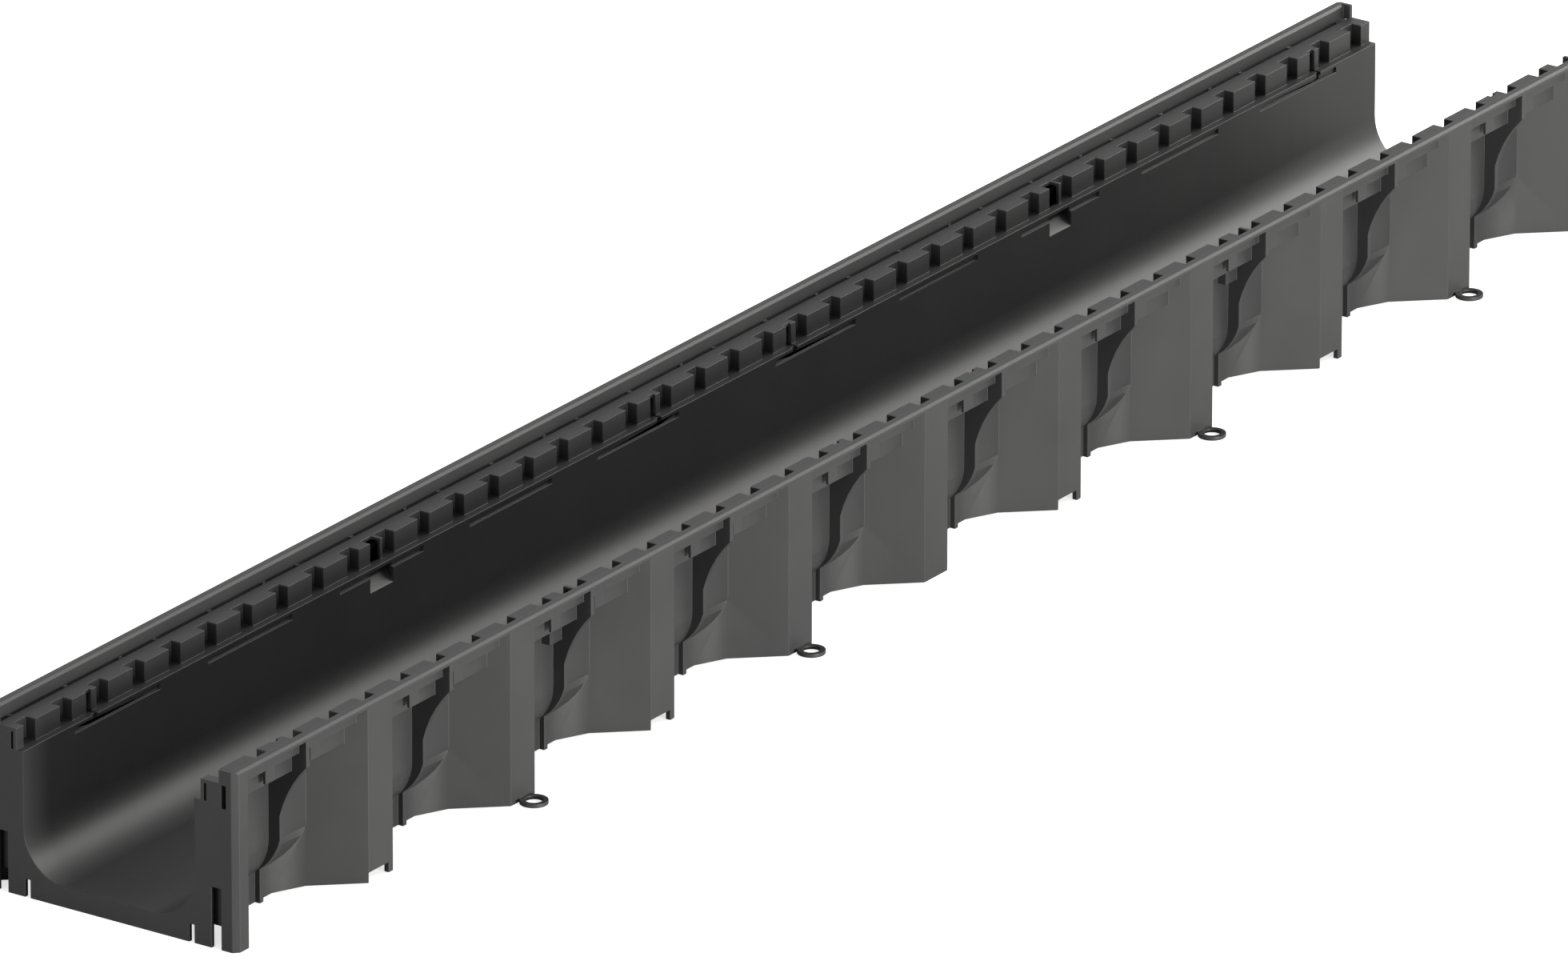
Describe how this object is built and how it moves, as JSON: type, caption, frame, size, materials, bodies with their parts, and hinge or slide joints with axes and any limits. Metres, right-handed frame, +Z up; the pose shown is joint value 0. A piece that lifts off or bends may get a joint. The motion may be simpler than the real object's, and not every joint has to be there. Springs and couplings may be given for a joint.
{
  "type": "drainage channel body",
  "caption": "Open U-shaped drainage channel moulded in plastic, with a toothed ledge for a grating, a corrugated skirt with fins, stake eyelets and plug-in ends.",
  "frame": {"origin": "on the ground, at the middle of the length and width", "axes": "+X along the channel towards the end with the tongues, +Y across it, +Z up"},
  "size_m": [1, 0.1508, 0.0789],
  "materials": {
    "moulded_plastic": "satin black moulded polypropylene"
  },
  "bodies": {
    "root": {"channel_body": "moulded_plastic"}
  },
  "joints": []
}
